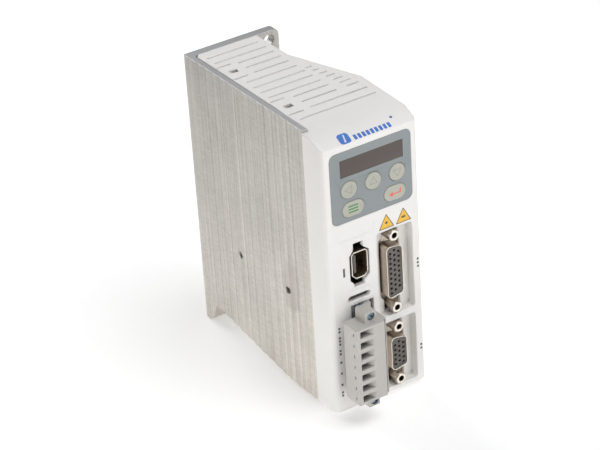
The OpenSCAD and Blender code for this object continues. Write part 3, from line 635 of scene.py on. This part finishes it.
# mode key: three plain bars; enter key: a bent arrow
for k, (dx, L) in enumerate(((0, 2.3), (0, 2.3), (0, 2.3))):
    prism("mark_mode_%d" % k, rrect(13.5 - L, 13.5 + L, -33.1 + 1.0 - k * 1.3, -33.1 + 1.6 - k * 1.3, 0.2, 3), -0.31, -0.25, INK["green"], "key_mode")
prism("mark_enter", [(35.6, -31.6), (36.1, -31.6), (36.1, -33.75), (32.3, -33.75), (32.3, -34.55), (30.5, -33.5), (32.3, -32.45), (32.3, -33.25), (35.6, -33.25)],
      -0.31, -0.25, INK["coral"], "key_enter")

# ------------------------------------------------------------------ printing on the cover
SLOPE = math.atan2(3.4, 7.0)


def on_bevel(name, outline, mat, lift=0.04):
    """outline is (x, u) with u measured down the sloped top front edge from its upper line."""
    bm = bmesh.new()
    ny, nz = -math.sin(SLOPE), math.cos(SLOPE)
    rows = []
    for h in (lift, -0.03):
        row = []
        for x, u in outline:
            y = 7.0 - u * math.cos(SLOPE)
            z = -1.2 - u * math.sin(SLOPE)
            row.append(bm.verts.new(P(x, y + ny * h, z + nz * h)))
        rows.append(row)
    n = len(outline)
    bm.faces.new(rows[0])
    bm.faces.new(list(reversed(rows[1])))
    for i in range(n):
        j = (i + 1) % n
        bm.faces.new([rows[0][i], rows[1][i], rows[1][j], rows[0][j]])
    bmesh.ops.recalc_face_normals(bm, faces=bm.faces)
    me = bpy.data.meshes.new(name)
    bm.to_mesh(me)
    bm.free()
    me.materials.append(mat)
    o = link_obj(name, me)
    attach(o, "chassis")
    return o


on_bevel("emblem_square", rrect(10.1, 15.1, 2.5, 7.5, 1.3), INK["blue"])
on_bevel("emblem_stripe", [(12.9, 3.2), (13.5, 3.2), (12.7, 6.8), (11.9, 6.8)], INK["pale"], 0.055)
for k in range(9):
    x1 = 16.6 + k * 1.98
    on_bevel("emblem_bar_%d" % k, rrect(x1, x1 + 1.35, 4.8, 7.2, 0.3), INK["blue"])
on_bevel("emblem_dot", [(35.9 + 0.62 * math.cos(2 * math.pi * k / 16), 3.0 + 0.62 * math.sin(2 * math.pi * k / 16)) for k in range(16)], INK["blue"])


def tri(cx, z0, w, h, r=0.35):
    """Rounded triangle, apex up."""
    pts = [(cx, z0), (cx + w / 2, z0 - h), (cx - w / 2, z0 - h)]
    out = []
    for i in range(3):
        a, b, c = Vector(pts[i - 1]), Vector(pts[i]), Vector(pts[(i + 1) % 3])
        u, v = (a - b).normalized(), (c - b).normalized()
        for k in range(5):
            t = k / 4
            q = b + u * r * (1 - t) * (1 - t) + v * r * t * t
            out.append((q.x, q.y))
    return out


for nm, cx in (("left", 28.75), ("right", 36.95)):
    prism("triangle_rim_" + nm, tri(cx, -41.2, 7.5, 6.6), -0.02, 0.05, INK["dark"])
    prism("triangle_face_" + nm, tri(cx, -41.85, 6.4, 5.6), -0.04, 0.0, INK["yellow"])
prism("triangle_spot_left", obround(28.75, -45.2, 0.0005, 0.62, 10), -0.055, 0.0, INK["dark"])
prism("triangle_spot_right", rrect(36.0, 37.9, -45.8, -44.9, 0.25), -0.055, 0.0, INK["dark"])
# port index ticks in place of lettering
for k, z in enumerate((-67.0, -68.7, -70.4)):
    prism("tick_cn1_%d" % k, rrect(42.6, 43.5, z - 0.5, z + 0.5, 0.2, 3), -0.02, 0.05, INK["dark"])
for k, z in enumerate((-107.7, -109.4)):
    prism("tick_cn2_%d" % k, rrect(42.7, 43.6, z - 0.5, z + 0.5, 0.2, 3), -0.02, 0.05, INK["dark"])
prism("tick_cn3", rrect(7.2, 8.1, -62.4, -58.4, 0.25, 3), -0.02, 0.05, INK["dark"])
for k, (z, n) in enumerate(((-85.6, 2), (-90.7, 3), (-96.0, 2), (-100.8, 1), (-106.0, 1), (-111.4, 1), (-115.8, 2))):
    for j in range(n):
        c = z + (n - 1) * 0.75 - j * 1.5
        prism("tick_pole_%d_%d" % (k, j), rrect(3.5, 4.4, c - 0.5, c + 0.5, 0.2, 3), -0.02, 0.05, INK["dark"])

# parting groove down the right of the plug's front face
prism("plug_groove", rrect(17.3, 18.2, -114.6, -80.2, 0.05, 2), -11.52, -11.45, INK["dark"], "plug")

# ------------------------------------------------------------------ floor, light, camera
bm = bmesh.new()
R, N = 20.0, 60
rows = []
for j in range(N + 1):
    v = -R + 2 * R * j / N
    rows.append([bm.verts.new((-R + 2 * R * i / N, v, -H / 2 - 0.0002)) for i in range(N + 1)])
for j in range(N):
    for i in range(N):
        bm.faces.new([rows[j][i], rows[j][i + 1], rows[j + 1][i + 1], rows[j + 1][i]])
me = bpy.data.meshes.new("floor")
bm.to_mesh(me)
bm.free()
floor = link_obj("floor", me)
ft = Tree("floor_paper")
ft.link(ft.mix(ft.ramp(ft.noise(14, 3), 0.3, 0.7), (0.90, 0.90, 0.895), (0.93, 0.93, 0.925)), ft.b.inputs["Base Color"])
ft.link(ft.ramp(ft.noise(60, 3), 0.3, 0.7, 0.7, 0.85), ft.b.inputs["Roughness"])
ft.link(ft.bump(ft.noise(900, 2), 0.1, 0.00005), ft.b.inputs["Normal"])
fl = ft.nt.nodes.new("ShaderNodeVectorMath")
fl.operation = "LENGTH"
ft.link(ft.obj, fl.inputs[0])
ft.link(ft.ramp(fl.outputs["Value"], 0.7, 1.9, 0.28, 0.92), ft.b.inputs["Emission Strength"])
ft.const(Emission_Color=(1, 1, 1, 1))
me.materials.append(ft.mat)


def area(name, loc, target, size, power, size_y=None, color=(1, 1, 1)):
    d = bpy.data.lights.new(name, "AREA")
    d.shape = "RECTANGLE"
    d.size = size
    d.size_y = size_y or size
    d.energy = power
    d.color = color
    o = bpy.data.objects.new(name, d)
    bpy.context.scene.collection.objects.link(o)
    o.location = loc
    o.rotation_euler = (Vector(target) - Vector(loc)).to_track_quat("-Z", "Y").to_euler()
    return o


C0 = (0, -0.05, 0)
area("key_top", (0.25, -0.35, 0.9), C0, 0.7, 5.35, color=(0.965, 0.98, 1.0))
area("front_fill", (0.35, -0.9, 0.06), C0, 0.6, 2.3, color=(1.0, 0.985, 0.965))
area("left_fill", (-0.9, -0.3, 0.35), C0, 0.6, 1.75, color=(1.0, 0.985, 0.965))
area("back_rim", (-0.1, 0.8, 0.6), C0, 0.7, 4.6)
area("low_left", (-0.75, -0.42, 0.0), (0, -0.1, -0.045), 0.35, 1.4, 0.2)

world = bpy.data.worlds.new("studio")
bpy.context.scene.world = world
world.use_nodes = True
wn = world.node_tree
bg = wn.nodes["Background"]
tc = wn.nodes.new("ShaderNodeTexCoord")
sep = wn.nodes.new("ShaderNodeSeparateXYZ")
mr = wn.nodes.new("ShaderNodeMapRange")
cr = wn.nodes.new("ShaderNodeMix")
cr.data_type = "RGBA"
wn.links.new(tc.outputs["Generated"], sep.inputs[0])
wn.links.new(sep.outputs[2], mr.inputs["Value"])
mr.inputs["From Min"].default_value = -0.3
mr.inputs["From Max"].default_value = 0.9
wn.links.new(mr.outputs[0], cr.inputs[0])
cr.inputs[6].default_value = (0.62, 0.62, 0.62, 1)
cr.inputs[7].default_value = (1.0, 1.0, 1.0, 1)
wn.links.new(cr.outputs[2], bg.inputs[0])
br = wn.nodes.new("ShaderNodeMapRange")
wn.links.new(sep.outputs[2], br.inputs["Value"])
br.inputs["From Min"].default_value = 0.035
br.inputs["From Max"].default_value = 0.07
br.inputs["To Min"].default_value = 1.3
br.inputs["To Max"].default_value = 0.18
wn.links.new(br.outputs[0], bg.inputs[1])

cam_d = bpy.data.cameras.new("camera")
cam_d.sensor_width = 36
cam_d.lens = 148.82
cam_d.clip_start = 0.05
cam_d.clip_end = 20
cam = bpy.data.objects.new("camera", cam_d)
bpy.context.scene.collection.objects.link(cam)
right = Vector((0.83101258, -0.55335514, -0.05671133))
down = Vector((-0.31745409, -0.3880689, -0.86523143))
fwd = Vector((0.45677235, 0.73702145, -0.498155))
m = Matrix((( right.x, -down.x, -fwd.x, 0), (right.y, -down.y, -fwd.y, 0), (right.z, -down.z, -fwd.z, 0), (0, 0, 0, 1)))
loc = P(-445.053, -700.082, 441.55)
cam.matrix_world = Matrix.Translation(loc) @ m.normalized()
bpy.context.scene.camera = cam
bpy.context.scene.view_settings.view_transform = "Standard"
